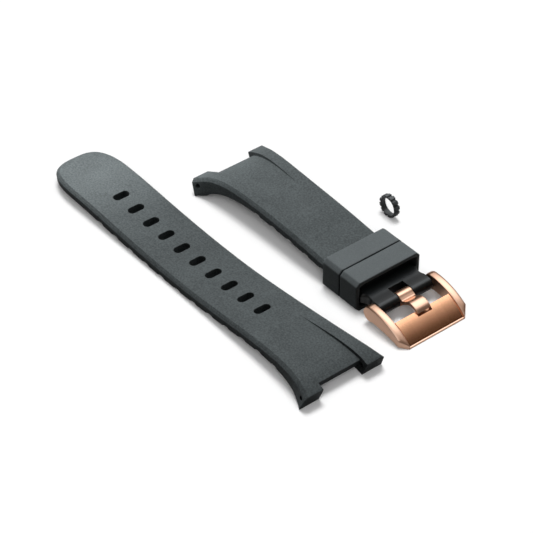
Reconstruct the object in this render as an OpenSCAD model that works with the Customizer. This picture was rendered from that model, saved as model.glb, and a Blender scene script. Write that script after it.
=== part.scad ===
// Rubber watch strap laid out on a table: the tail half, the buckle half with its two keepers and its
// pin buckle, and a loose toothed crown ring. X runs along the strap, Y across it and Z up from the table.

/* [Strap] */
// Width of both straps over their sides
strap_w = 19.8; // [18.6:0.1:21]
// Thickness of both straps away from the horned ends
strap_t = 3; // [2.8:0.05:3.2]
// Bevel along the top edges
edge_bevel = 0.95; // [0.5:0.05:1.1]
// Round-off along the bottom edges
bottom_bevel = 0.25; // [0.15:0.05:0.5]

/* [Tail] */
// Length of the tail half along its curve
tail_len = 120.8; // [116:0.1:130]
// Thickness at the tip
tip_t = 2.75; // [2.5:0.05:3]
// Length of the rounded tip
tip_len = 15; // [9:0.5:18]
// Number of buckle slots
slot_count = 10; // [6:1:10]
// Distance between slots
slot_pitch = 7; // [6.5:0.1:7]
// Length of a slot across the strap
slot_l = 4.9; // [4.6:0.1:7]
// Width of a slot along the strap
slot_w = 2.35; // [1.8:0.05:2.6]
// Distance from the horns to the nearest slot, along the curve
slot_start = 34.1; // [32:0.1:40]

/* [Horned ends] */
// Width over the horns at the top face
horn_w = 24.8; // [24:0.1:27]
// Thickness at the horn tips
horn_t = 5; // [4.6:0.1:5.6]
// How far the horns' sides lean out towards the bottom
horn_lean = 0.6; // [0:0.05:0.8]
// Distance over which the horns flare out
flare_len = 9.4; // [6:0.1:11]
// Width of the notch between the horns
notch_w = 14.5; // [12:0.1:16]
// Depth of the notch
notch_d = 2.7; // [2.6:0.1:3.4]
// Thickness of the lip between the horns, over the undercut that follows the watch case
lip_t = 2; // [1.2:0.1:3]
// Length of that undercut
undercut_l = 3; // [1:0.1:4]
// Radius of the bore through the horns
horn_bore_r = 0.75; // [0.5:0.05:0.9]
// Distance of the bore from the end faces
horn_bore_in = 1.8; // [1.5:0.1:2.2]
// Depth of the bore below the top face
horn_bore_down = 2.2; // [1.6:0.1:2.6]
// Depth of the sunk centre panel at the notch
panel_d = 1; // [0.5:0.1:1.2]
// Length of the sunk centre panel
panel_l = 23; // [16:0.5:28]
// Width of the sunk centre panel where it fades out
panel_fade_w = 11.2; // [9:0.1:12]

/* [Underside] */
// Depth of the grooves across the underside
groove_d = 0.4; // [0.2:0.05:0.8]
// Width of the grooves
groove_w = 2.6; // [1.6:0.1:3.4]

/* [Buckle half] */
// Length of the buckle half along its curve, from the horns to the spring bar
buckle_len = 76.1; // [74:0.1:84]
// Distance from the horns to the first groove under the buckle half
buckle_groove_start = 26.6; // [24:0.1:32]
// Radius of the eye around the spring bar
eye_r = 1.9; // [1.7:0.05:2.1]
// Width of the gap in the eye for the tongue
eye_gap_w = 5.2; // [4.9:0.1:6]
// Length of that gap behind the spring bar
eye_gap_l = 3.3; // [2.7:0.1:4]
// Depth of the hollows in the sides behind the eye
neck_d = 1.05; // [0.7:0.05:1.3]
// Radius of those hollows
neck_r = 3; // [2.4:0.1:3.4]

/* [Keepers] */
// Length of a keeper along the strap
keeper_l = 6.7; // [5.5:0.1:7.2]
// Height of a keeper
keeper_h = 9.6; // [9.2:0.1:11]
// Wall of a keeper
keeper_wall = 1.15; // [0.9:0.05:1.3]
// Bevel on a keeper's four long corners
keeper_bevel = 1.15; // [0.6:0.05:1.4]
// Clearance between a keeper and the strap's sides
keeper_gap = 0.15; // [0.1:0.05:0.4]
// Distance between the two keepers
keeper_space = 0.4; // [0.3:0.1:1]
// Distance from the spring bar to the front keeper
keeper_back = 6.1; // [6:0.1:7]

/* [Buckle] */
// Width of the buckle over its cheeks
buckle_w = 23.8; // [22.6:0.1:24.5]
// Width of a cheek
cheek_w = 2.3; // [1.8:0.05:2.5]
// Length of the buckle from the spring bar to its front edge
buckle_l = 13.8; // [13:0.1:15]
// Radius of a cheek's round end
cheek_r = 2.3; // [2.1:0.05:2.5]
// Length of the plate between the cheeks
plate_l = 6.5; // [5.5:0.1:7.4]
// Thickness of the plate
plate_t = 1.5; // [1.1:0.05:1.8]
// Depth of the plate below the cheeks' top edges
plate_drop = 0.35; // [0.2:0.05:0.6]
// Bevel along the cheeks' top edges
cheek_bevel = 0.4; // [0.2:0.05:0.6]
// Cut across the buckle's front corners
corner_cut = 2.1; // [1.2:0.1:2.6]

/* [Tongue] */
// Width of the tongue
tongue_w = 4.7; // [4:0.1:4.8]
// Thickness of the tongue
tongue_t = 1.2; // [0.9:0.05:1.4]
// Length of the tongue from the spring bar to its tip
tongue_l = 8.5; // [8.2:0.1:8.8]
// Clearance of the tongue in the plate's notch
tongue_gap = 0.12; // [0.08:0.02:0.2]
// Depth of that notch's floor below the spring bar's axis
notch_floor = 0.35; // [0.25:0.05:0.5]

/* [Spring bar] */
// Radius of the barrel
barrel_r = 0.9; // [0.75:0.05:0.95]
// Wall of the barrel
barrel_wall = 0.22; // [0.18:0.02:0.28]
// Radius of the pins' tips
pin_r = 0.42; // [0.36:0.02:0.46]
// Reach of each pin into its cheek
pin_reach = 1.2; // [1:0.05:1.4]
// Radial clearance of the turning and sliding fits
fit_gap = 0.05; // [0.03:0.01:0.08]

/* [Crown ring] */
// Outer diameter of the crown ring over its teeth
ring_d = 6.9; // [6:0.1:8]
// Bore of the crown ring
ring_bore = 5.3; // [4.6:0.1:5.4]
// Width of the crown ring
ring_w = 1.75; // [1.4:0.05:2.2]
// Number of teeth
ring_teeth = 12; // [10:1:16]

/* [Layout] */
// Distance between the centre lines of the two halves
halves_apart = 33; // [30:0.5:40]
// Distance by which the buckle half's horns lie behind the tail's horns
halves_offset = 90.5; // [86:0.1:94]
// Distance of the crown ring from the buckle half's centre line
ring_aside = 23.3; // [20:0.1:30]
// Distance of the crown ring ahead of the buckle half's horns
ring_ahead = 43.4; // [30:0.1:60]

/* [Hidden] */
$fn = 64;
eps = 0.01;
past = 1;

// Rise of each half away from its horns, in degrees at distances along the curve, as the strap lies
tail_rise = [[0, 22], [7, 4], [14, -2], [22, -4.5], [36, -5.5], [48, -3.6], [58, -1.2], [64, 0], [76, 1.8],
             [90, 3.5], [98, 3], [106, 0.5], [113, -1.5], [125, -3]];
buckle_rise = [[0, 28], [4, 26], [8, 14], [13, 5], [18, 0.5], [26, -1.5], [38, -3], [46, -5], [56, -5.2],
               [64, -3], [80, -1.6]];
// Thickness gained towards the horns, as a share of what the horns have over the strap
horn_bulk = [[0, 1], [4, 1.12], [7, 0.85], [11, 0.55], [15, 0.32], [20, 0.1], [24, 0]];

step = 0.5;
function walk(rise, len) =
    [for (i = 0, x = 0, z = 0; i <= len / step + 2;
          x = x + step * cos(lookup((i + 0.5) * step, rise)),
          z = z + step * sin(lookup((i + 0.5) * step, rise)),
          i = i + 1) [i * step, x, z]];
function along(path, k) = [for (p = path) [p[0], p[k]]];

half_top = strap_w / 2 - edge_bevel;
flare = horn_w / 2 - half_top;
side_draft = 0.1;
widest = half_top + flare + edge_bevel + horn_lean - side_draft;
function lean(s) = horn_lean * exp(-s / 5) - side_draft;
function top_half(s) = half_top + flare * exp(-s / flare_len);
function thick(s) = strap_t + (horn_t - strap_t) * lookup(s, horn_bulk);

// Where each half lies: its horns' top corner, its direction and its curve
tail_path = walk(tail_rise, tail_len);
buckle_path = walk(buckle_rise, buckle_len);
tail_x = along(tail_path, 1);
tail_z = along(tail_path, 2);
buckle_x = along(buckle_path, 1);
buckle_z = along(buckle_path, 2);
tail_start_z = horn_t * cos(tail_rise[0][1]);
buckle_start_z = horn_t * cos(buckle_rise[0][1]);
tail_end_tilt = lookup(tail_len, tail_rise);
tail_span = lookup(tail_len, tail_x) + (tail_end_tilt > 0 ? tip_t : edge_bevel) * sin(tail_end_tilt);
horns_x = tail_span / 2;
y_reach = widest + halves_apart + ring_aside + ring_w / 2;
tail_y = widest - y_reach / 2;
buckle_y = tail_y + halves_apart;
buckle_horns_x = horns_x - halves_offset;
bar_x = buckle_horns_x + lookup(buckle_len, buckle_x);
bar_rise = 0.15;
bar_z = buckle_start_z + lookup(buckle_len, buckle_z) + bar_rise - eye_r;
cheek_play = 0.4;
eye_half = buckle_w / 2 - cheek_w - cheek_play;

// Cross sections: half widths at the top face and at the sides, and depths below the curve
function section(top, side, depth, bevel_end, t, lean) =
    let (low = side + lean)
    [[-top, depth], [top, depth], [side, bevel_end], [low, t - bottom_bevel], [low - bottom_bevel, t],
     [-low + bottom_bevel, t], [-low, t - bottom_bevel], [-side, bevel_end]];
function placed(s, ring, px, pz, rise) =
    let (x = lookup(s, px), z = lookup(s, pz), tilt = lookup(s, rise))
    [for (p = ring) [x + p[1] * sin(tilt), p[0], z - p[1] * cos(tilt)]];

// A closed skin over rings of points that follow each other along the strap
module skin(rings) {
    n = len(rings[0]);
    last = len(rings) - 1;
    points = [for (r = rings) each r];
    sides = [for (i = [0 : last - 1]) for (k = [0 : n - 1])
        let (a = i * n + k, b = i * n + (k + 1) % n)
        each [[a, b, b + n], [a, b + n, a + n]]];
    caps = [[for (k = [n - 1 : -1 : 0]) k], [for (k = [0 : n - 1]) last * n + k]];
    polyhedron(points = points, faces = concat(sides, caps), convexity = 8);
}

// Grooves across the underside repeat at the slots' pitch: the first one's distance from the horns, and their count
tail_grooves = [slot_start - 2.5 * slot_pitch, 12];
buckle_grooves = [buckle_groove_start, 5];
function groove_depth(s, set) =
    let (k = round((s - set[0]) / slot_pitch), off = abs(s - set[0] - k * slot_pitch), half = groove_w / 2)
    k < 0 || k >= set[1] || off >= half ? 0 : groove_d * min(1, (half - off) / 0.5);
function groove_stops(set) =
    [for (k = [0 : set[1] - 1]) for (u = [-1, -0.6, 0, 0.6, 1]) set[0] + k * slot_pitch + u * groove_w / 2];

// Tail tip: a blunt rounded outline whose bevel runs on round the nose
tip_power = 3;
function tip_share(q) = pow(max(0, 1 - pow(1 - min(1, q), tip_power)), 1 / tip_power);
tip_stops = [0, 0.012, 0.035, 0.07, 0.11, 0.17, 0.25, 0.35, 0.48, 0.65, 0.85];
nose_half = 2.2;
thin_len = 25;
function tail_ring(s) =
    let (q = tail_len - s,
         side = top_half(s) + edge_bevel,
         outer = q < tip_len ? max(nose_half, side * tip_share(q / tip_len)) : side,
         inner = q < tip_len ? max(nose_half - 1,
                                   (side - edge_bevel) * tip_share((q - edge_bevel) / (tip_len - edge_bevel)))
                             : side - edge_bevel,
         depth = max(0, edge_bevel - q),
         t = (q > thin_len ? thick(s) : tip_t + (strap_t - tip_t) * q / thin_len)
             - groove_depth(s, tail_grooves))
    section(min(inner, outer - 0.3), outer, depth, max(edge_bevel, depth + 0.05), t, lean(s));
function buckle_ring(s) =
    let (side = top_half(s) + edge_bevel,
         t = thick(s) - groove_depth(s, buckle_grooves))
    section(side - edge_bevel, side, 0, edge_bevel, t, lean(s));

// Stations along each half: those of the horns before the first groove, the grooves, and those behind them
stop_space = 0.4;
lug_stops = [0, 1, 2, 3, 4, 5.5, 7, 9, 11, 13.5, 16, 18.5, 21, 23.5];
back_stops = [59, 62, 66, buckle_len - 4.5, buckle_len - 1.2];
function with_ends(front, middle, back) =
    concat([for (s = front) if (s < middle[0] - stop_space) s], middle,
           [for (s = back) if (s > middle[len(middle) - 1] + stop_space) s]);
tail_stops = with_ends(lug_stops, groove_stops(tail_grooves),
                       concat([tail_len - tip_len - 4, tail_len - tip_len],
                              [for (i = [len(tip_stops) - 1 : -1 : 0]) tail_len - tip_len * tip_stops[i]]));
buckle_stops = with_ends(lug_stops, groove_stops(buckle_grooves), back_stops);

// Sunk centre panel of a horned end, as a wedge that rises out of the top face where the panel ends
module panel_cut(px, pz, rise) {
    stops = [-0.6, 0, 2, 4, 6, 8, 11, 14, 17, 20, panel_l - 1, panel_l];
    skin([for (s = stops)
        let (share = s / panel_l,
             half = notch_w / 2 + (panel_fade_w - notch_w) / 2 * share,
             deep = panel_d * pow(max(0, 1 - share), 1.15),
             slope = lookup(max(0, s), rise),
             x = lookup(max(0, s), px) + min(0, s) * cos(slope),
             z = lookup(max(0, s), pz) + min(0, s) * sin(slope))
        [for (p = [[-half - 0.15, -1.2], [half + 0.15, -1.2], [half, deep], [-half, deep]])
            [x + p[1] * sin(slope), p[0], z - p[1] * cos(slope)]]]);
}

// Notch between the horns and the bore through them, square to the end faces
module horn_cuts(tilt) {
    rotate([0, -tilt, 0]) {
        translate([-past, -notch_w / 2, -horn_t - past])
            cube([notch_d + past, notch_w, horn_t + 2 * past]);
        rotate([90, 0, 0])
            linear_extrude(notch_w, center = true)
                polygon([[notch_d - eps, -panel_d - lip_t], [notch_d + undercut_l, -horn_t - past],
                         [notch_d - eps, -horn_t - past]]);
        translate([horn_bore_in, 0, -horn_bore_down])
            rotate([90, 0, 0]) cylinder(h = 2 * widest + 2 * past, r = horn_bore_r, center = true);
    }
}

module slot(s) {
    translate([lookup(s, tail_x), 0, lookup(s, tail_z)])
        rotate([0, -lookup(s, tail_rise), 0])
            translate([0, 0, -strap_t - past])
                linear_extrude(strap_t + 2 * past) {
                    square([slot_w, slot_l - slot_w], center = true);
                    for (side = [-1, 1]) translate([0, side * (slot_l - slot_w) / 2]) circle(d = slot_w);
                }
}

module tail_strap() {
    color("dimgray")
        translate([horns_x, tail_y, tail_start_z])
            rotate([0, 0, 180])
                difference() {
                    skin([for (s = tail_stops) placed(s, tail_ring(s), tail_x, tail_z, tail_rise)]);
                    panel_cut(tail_x, tail_z, tail_rise);
                    horn_cuts(tail_rise[0][1]);
                    for (i = [0 : slot_count - 1]) slot(slot_start + i * slot_pitch);
                }
}

// The buckle half ends in an eye round the spring bar, with a gap for the tongue and hollowed sides
eye_bore_r = barrel_r + fit_gap;
module buckle_strap() {
    end_x = bar_x - buckle_horns_x;
    end_z = bar_z - buckle_start_z;
    color("dimgray")
        translate([buckle_horns_x, buckle_y, buckle_start_z])
            difference() {
                union() {
                    skin([for (s = buckle_stops) placed(s, buckle_ring(s), buckle_x, buckle_z, buckle_rise)]);
                    translate([end_x, 0, end_z])
                        rotate([90, 0, 0]) cylinder(h = 2 * eye_half, r = eye_r, center = true);
                }
                panel_cut(buckle_x, buckle_z, buckle_rise);
                horn_cuts(buckle_rise[0][1]);
                for (side = [-1, 1]) {
                    translate([end_x - cheek_r - 0.3, side * (eye_half + strap_w / 2), end_z])
                        cube([2 * cheek_r + 2, strap_w, 6 * eye_r], center = true);
                    translate([end_x - cheek_r - 1.2, side * (strap_w / 2 - neck_d + neck_r), end_z])
                        cylinder(h = 6 * eye_r, r = neck_r, center = true);
                }
                translate([end_x - eye_gap_l, -eye_gap_w / 2, end_z - 3 * eye_r])
                    cube([eye_gap_l + eye_r + past, eye_gap_w, 6 * eye_r]);
                translate([end_x, 0, end_z])
                    rotate([90, 0, 0]) cylinder(h = strap_w + past, r = eye_bore_r, center = true);
            }
}

// Keepers: loops with bevelled corners outside and rounded ones inside
keeper_w = strap_w + 2 * (keeper_gap + keeper_wall);
front_keeper_x = bar_x - keeper_back - keeper_l;
rear_keeper_x = front_keeper_x - keeper_space - keeper_l;
module keeper(x) {
    half = keeper_w / 2;
    inside = 0.8;
    color("dimgray")
        translate([x, buckle_y, 0])
            rotate([90, 0, 90])
                linear_extrude(keeper_l)
                    difference() {
                        polygon([[-half + keeper_bevel, 0], [half - keeper_bevel, 0], [half, keeper_bevel],
                                 [half, keeper_h - keeper_bevel], [half - keeper_bevel, keeper_h],
                                 [-half + keeper_bevel, keeper_h], [-half, keeper_h - keeper_bevel],
                                 [-half, keeper_bevel]]);
                        for (turn = [0, 1]) {
                            size = [keeper_w - 2 * keeper_wall, keeper_h - 2 * keeper_wall];
                            translate([0, keeper_h / 2])
                                square([size[0] - 2 * inside * turn, size[1] - 2 * inside * (1 - turn)],
                                       center = true);
                        }
                        for (y = [-1, 1]) for (z = [-1, 1])
                            translate([y * (half - keeper_wall - inside),
                                       keeper_h / 2 + z * (keeper_h / 2 - keeper_wall - inside)])
                                circle(r = inside);
                    }
}

module fixed_keeper() { keeper(front_keeper_x); }
module sliding_keeper() { keeper(rear_keeper_x); }

// Buckle frame in its own plane: X forward and Y up from the spring bar
function mid3(a, b, c) =
    let (d = 2 * (a[0] * (b[1] - c[1]) + b[0] * (c[1] - a[1]) + c[0] * (a[1] - b[1])),
         qa = a * a, qb = b * b, qc = c * c)
    [(qa * (b[1] - c[1]) + qb * (c[1] - a[1]) + qc * (a[1] - b[1])) / d,
     (qa * (c[0] - b[0]) + qb * (a[0] - c[0]) + qc * (b[0] - a[0])) / d];
front_low = -bar_z;
crown_a = [0.3, cheek_r];
crown_b = [0.63 * buckle_l, 0.5];
crown_c = [buckle_l - 0.2, front_low + 1.2];
crown_mid = mid3(crown_a, crown_b, crown_c);
crown_r = norm(crown_a - crown_mid);
sole_a = [1.2, -cheek_r + 0.35];
sole_b = [0.62 * buckle_l, -2.75];
sole_c = [buckle_l - 0.9, front_low];
sole_mid = mid3(sole_a, sole_b, sole_c);
function arc(mid, from, to, n) =
    let (r = norm(from - mid),
         a0 = atan2(from[1] - mid[1], from[0] - mid[0]),
         a1 = atan2(to[1] - mid[1], to[0] - mid[0]))
    [for (i = [0 : n]) let (a = a0 + (a1 - a0) * i / n) mid + r * [cos(a), sin(a)]];

module cheek_outline() {
    end_steps = 28;
    from = atan2(sole_a[1], sole_a[0]);
    to = atan2(crown_a[1], crown_a[0]) - 360;
    round_end = [for (i = [1 : end_steps - 1])
        let (a = from + (to - from) * i / end_steps) cheek_r * [cos(a), sin(a)]];
    polygon(concat(arc(crown_mid, crown_a, crown_c, 20),
                   [[buckle_l, front_low + 0.9], [buckle_l, front_low]],
                   arc(sole_mid, sole_c, sole_a, 14), round_end));
}

// Sharp ring that bevels the crown's edge at a side face
module edge_ring(bevel) {
    rotate_extrude($fn = 128)
        polygon([[crown_r - bevel - eps, -eps], [crown_r + past, -eps], [crown_r + past, bevel + past]]);
}

// What is cut away between the cheeks: all of the room but the plate
cheek_in = buckle_w / 2 - cheek_w;
module room_between() {
    difference() {
        translate([-cheek_r - past, front_low - past, -cheek_in])
            cube([buckle_l + cheek_r + 2 * past, bar_z + cheek_r + 2 * past, 2 * cheek_in]);
        intersection() {
            translate([crown_mid[0], crown_mid[1], 0])
                difference() {
                    cylinder(h = buckle_w, r = crown_r - plate_drop, center = true, $fn = 128);
                    cylinder(h = 2 * buckle_w, r = crown_r - plate_drop - plate_t, center = true, $fn = 128);
                }
            translate([buckle_l - plate_l, front_low - 2 * past, -buckle_w / 2])
                cube([2 * plate_l, bar_z + cheek_r + 4 * past, buckle_w]);
        }
    }
}

module buckle_frame() {
    inner_bevel = min(cheek_bevel, plate_drop - 0.05);
    color("#c98f6f")
        translate([bar_x, buckle_y, bar_z])
            rotate([90, 0, 0])
                difference() {
                    linear_extrude(buckle_w, center = true) cheek_outline();
                    room_between();
                    for (side = [-1, 1]) {
                        translate([crown_mid[0], crown_mid[1], side * buckle_w / 2])
                            mirror([0, 0, side > 0 ? 1 : 0]) edge_ring(cheek_bevel);
                        translate([crown_mid[0], crown_mid[1], side * cheek_in])
                            mirror([0, 0, side < 0 ? 1 : 0]) edge_ring(inner_bevel);
                        translate([buckle_l - corner_cut, 0, side * buckle_w / 2])
                            rotate([0, side * 45, 0])
                                translate([0, 0, side * past])
                                    cube([buckle_l, buckle_l, 2 * past], center = true);
                        translate([0, 0, side * (cheek_in + (pin_reach + fit_gap) / 2 - eps)])
                            cylinder(h = pin_reach + fit_gap + 2 * eps, r = pin_r + fit_gap, center = true);
                    }
                    translate([0, -notch_floor, -tongue_w / 2 - tongue_gap])
                        cube([tongue_l + 2 * tongue_gap, notch_floor + cheek_r + past, tongue_w + 2 * tongue_gap]);
                }
}

// Tongue: a ring round the bar, a dip, a rise over the plate's back edge and a tip bent down into its notch
tongue_r = barrel_r + fit_gap + 1.1;
tongue_line = [[0.5, 1.2], [1.25, 0.72], [2.15, 0.42], [3.1, 0.7], [4.1, 1.38], [5.1, 1.78], [6.2, 1.65],
               [7.3, 1.2], [tongue_l - 0.35, 0.45]];
function curve_at(u) =
    let (n = len(tongue_line) - 1, i = max(0, min(n - 1, floor(u))), t = u - i,
         a = tongue_line[max(0, i - 1)], b = tongue_line[i],
         c = tongue_line[i + 1], d = tongue_line[min(n, i + 2)])
    0.5 * (2 * b + (c - a) * t + (2 * a - 5 * b + 4 * c - d) * t * t + (3 * b - a - 3 * c + d) * t * t * t);
function tongue_side(side) =
    [for (i = [0 : 4 * (len(tongue_line) - 1)])
        let (u = i / 4, p = curve_at(u), q = curve_at(u + 0.02) - curve_at(u - 0.02),
             half = tongue_t / 2 * (1 - 0.25 * u / (len(tongue_line) - 1)))
        p + side * half * [-q[1], q[0]] / norm(q)];

module buckle_tongue() {
    under = tongue_side(-1);
    color("#c98f6f")
        translate([bar_x, buckle_y, bar_z])
            rotate([90, 0, 0])
                difference() {
                    union() {
                        cylinder(h = tongue_w, r = tongue_r, center = true);
                        linear_extrude(tongue_w, center = true)
                            polygon(concat(tongue_side(1), [for (i = [len(under) - 1 : -1 : 0]) under[i]]));
                    }
                    cylinder(h = tongue_w + past, r = eye_bore_r, center = true);
                }
}

// Spring bar: a barrel with rolled-in ends, two shouldered pins and the spring that pushes them apart
barrel_half = eye_half - 0.15;
barrel_bore = barrel_r - barrel_wall;
lip = 0.35;
shoulder_l = 1.2;
shoulder_gap = 0.05;
module bar_barrel() {
    color("silver")
        translate([bar_x, buckle_y, bar_z])
            rotate([90, 0, 0])
                difference() {
                    cylinder(h = 2 * barrel_half, r = barrel_r, center = true);
                    cylinder(h = 2 * (barrel_half - lip), r = barrel_bore, center = true);
                    cylinder(h = 2 * barrel_half + past, r = pin_r + fit_gap, center = true);
                }
}

module bar_pin(side) {
    tip = buckle_w / 2 - cheek_w + pin_reach;
    shoulder = barrel_half - lip - shoulder_gap;
    color("silver")
        translate([bar_x, buckle_y, bar_z])
            rotate([-90 * side, 0, 0]) {
                translate([0, 0, shoulder - shoulder_l])
                    cylinder(h = tip - shoulder + shoulder_l, r = pin_r);
                translate([0, 0, shoulder - shoulder_l]) cylinder(h = shoulder_l, r = barrel_bore - fit_gap);
            }
}

module bar_pin_left() { bar_pin(-1); }
module bar_pin_right() { bar_pin(1); }

spring_turns = 14;
spring_wire = 0.13;
spring_r = barrel_bore - fit_gap - spring_wire;
spring_half = barrel_half - lip - shoulder_gap - shoulder_l - 0.1;
module bar_spring() {
    steps = 8 * spring_turns;
    color("silver")
        translate([bar_x, buckle_y, bar_z])
            skin([for (i = [0 : steps])
                let (a = 45 * i, y = -spring_half + 2 * spring_half * i / steps)
                [for (k = [0 : 4])
                    let (r = spring_r + spring_wire * cos(72 * k))
                    [r * cos(a), y + spring_wire * sin(72 * k), r * sin(a)]]]);
}

// Crown ring, standing on two of its teeth with its axis across the strap
module crown_ring() {
    tooth_gap = 0.55;
    root = ring_d / 2 - 0.45;
    ring_rest = sqrt(pow(ring_d / 2, 2) - pow(tooth_gap / 2, 2));
    color("#26282a")
        translate([buckle_horns_x + ring_ahead, buckle_y + ring_aside, ring_rest])
            rotate([90, 0, 0])
                difference() {
                    cylinder(h = ring_w, d = ring_d, center = true);
                    cylinder(h = ring_w + past, d = ring_bore, center = true);
                    for (i = [0 : ring_teeth - 1])
                        rotate([0, 0, 270 + 360 / ring_teeth * i])
                            translate([root, -tooth_gap / 2, -ring_w])
                                cube([1, tooth_gap, 2 * ring_w]);
                }
}

tail_strap();
buckle_strap();
fixed_keeper();
sliding_keeper();
buckle_frame();
buckle_tongue();
bar_barrel();
bar_spring();
bar_pin_left();
bar_pin_right();
crown_ring();
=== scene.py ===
import math
import bmesh
import bpy
import numpy as np
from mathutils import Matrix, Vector


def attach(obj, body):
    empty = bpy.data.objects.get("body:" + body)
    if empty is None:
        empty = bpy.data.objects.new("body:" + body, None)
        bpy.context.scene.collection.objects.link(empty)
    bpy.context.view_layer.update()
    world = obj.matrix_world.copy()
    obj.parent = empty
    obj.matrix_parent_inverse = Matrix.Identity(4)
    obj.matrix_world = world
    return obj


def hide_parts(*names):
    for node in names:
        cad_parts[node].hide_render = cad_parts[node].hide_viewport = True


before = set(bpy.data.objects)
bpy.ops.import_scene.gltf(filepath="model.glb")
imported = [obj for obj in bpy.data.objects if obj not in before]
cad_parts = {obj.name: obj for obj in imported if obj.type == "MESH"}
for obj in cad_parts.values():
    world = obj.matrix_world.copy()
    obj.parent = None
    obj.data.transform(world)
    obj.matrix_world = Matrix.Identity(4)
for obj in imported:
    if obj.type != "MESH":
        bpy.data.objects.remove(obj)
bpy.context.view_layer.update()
print("frame loaded:", len(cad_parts), "nodes")

# lengths are in millimetres, and meshes are turned into metres as they are made
metre = 0.001
sharpAngle = 32.0  # edges that turn by more stay sharp


def newObject(name, data):
    made = bpy.data.objects.new(name, data)
    bpy.context.scene.collection.objects.link(made)
    return made


def beside(*columns):
    # sets columns next to each other: tables, single columns with one value per row, and numbers that every row has
    rows = max(len(column) for column in columns if np.ndim(column))
    return np.concatenate([column if np.ndim(column) == 2 else np.broadcast_to(column, rows)[:, None]
                           for column in columns], axis=1)


def sheet(points, closeRows=False, closeCols=False, keep=None):
    # a grid of points with quads between neighbours, where point (i, j) has the number i*cols + j; it can close on
    # itself either way, and keep says which quads stay
    rows, cols = points.shape[:2]
    a, b = np.meshgrid(np.arange(rows if closeRows else rows - 1), np.arange(cols if closeCols else cols - 1),
                       indexing="ij")
    a2, b2 = (a + 1) % rows, (b + 1) % cols
    quads = np.stack([a * cols + b, a2 * cols + b, a2 * cols + b2, a * cols + b2], axis=-1)
    quads = quads if keep is None else quads[keep]
    return points, quads.reshape(-1, 4).tolist()


def tube(points, lastCap=True):
    # a sheet of closed rings with a face over the first ring, and one over the last
    faces = sheet(points, closeCols=True)[1]
    rows, cols = points.shape[:2]
    faces.append(list(range(cols)))
    if lastCap:
        faces.append(list(range((rows - 1) * cols, rows * cols)))
    return points, faces


def weld(name, shells, sharp=sharpAngle, weldDistance=2e-7):
    # one mesh from shells, each a list of parts (points, faces): its coincident points merge, its faces turn outwards
    mesh = bpy.data.meshes.new(name)
    whole = bmesh.new()
    openEdges = 0
    for parts in shells:
        points, faces, count = [], [], 0
        for partPoints, partFaces in parts:
            points.append(partPoints.reshape(-1, 3))
            faces.extend([[k + count for k in face] for face in partFaces])
            count += len(points[-1])
        shell = bpy.data.meshes.new("shell")
        shell.from_pydata((np.concatenate(points) * metre).tolist(), [], faces)
        work = bmesh.new()
        work.from_mesh(shell)
        bmesh.ops.remove_doubles(work, verts=work.verts, dist=weldDistance)
        bmesh.ops.dissolve_degenerate(work, edges=work.edges, dist=weldDistance)
        bmesh.ops.recalc_face_normals(work, faces=work.faces)
        openEdges += sum(1 for e in work.edges if not e.is_manifold)
        work.to_mesh(shell)
        work.free()
        whole.from_mesh(shell)
        bpy.data.meshes.remove(shell)
    whole.to_mesh(mesh)
    whole.free()
    mesh.shade_smooth()
    mesh.set_sharp_from_angle(angle=math.radians(sharp))
    print(name, len(mesh.vertices), "points,", len(mesh.polygons), "faces,", openEdges, "open edges")
    return newObject(name, mesh)


def dress(piece, body, node, material):
    # the piece stands for its CAD node, rides on that node's body and takes a material
    piece.data.materials.clear()
    piece.data.materials.append(material)
    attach(piece, body)
    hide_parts(node)
    return piece


def cutRound(piece, x, z, y, radius, steps=48, reach=16):
    # bores a round hole along Y by subtracting a closed prism, and writes the result into the piece's mesh
    angle = np.linspace(0, 2 * np.pi, steps, endpoint=False)
    circle = beside(x + radius * np.cos(angle), 0, z + radius * np.sin(angle))
    prism = tube(np.stack([circle + [0, y - reach, 0], circle + [0, y + reach, 0]]))
    cutter = weld("boreCutter", [[prism]])
    modifier = piece.modifiers.new("bore", "BOOLEAN")
    modifier.operation = "DIFFERENCE"
    modifier.object = cutter
    modifier.solver = "EXACT"
    bpy.context.view_layer.update()
    done = bpy.data.meshes.new_from_object(piece.evaluated_get(bpy.context.evaluated_depsgraph_get()))
    piece.modifiers.clear()
    piece.data = done
    bpy.data.objects.remove(cutter)
    done.shade_smooth()
    done.set_sharp_from_angle(angle=math.radians(sharpAngle))


def smooth(t):
    # 0 below 0, 1 above 1, and 3t^2 - 2t^3 between
    t = np.clip(t, 0, 1)
    return t * t * (3 - 2 * t)


def unit(vectors):
    return vectors / np.linalg.norm(vectors, axis=-1, keepdims=True)


def bow(x, middle, radius):
    # how high a circle stands above its middle at x, and 0 beyond its sides
    return np.sqrt(np.clip(radius ** 2 - (x - middle) ** 2, 0, None))


def through(start, *marks):
    # stations from start on, without start itself: each mark is a place and how many equal steps lead to it
    places = []
    for place, steps in marks:
        places.append(np.linspace(start, place, steps + 1)[1:])
        start = place
    return np.concatenate(places)


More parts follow.
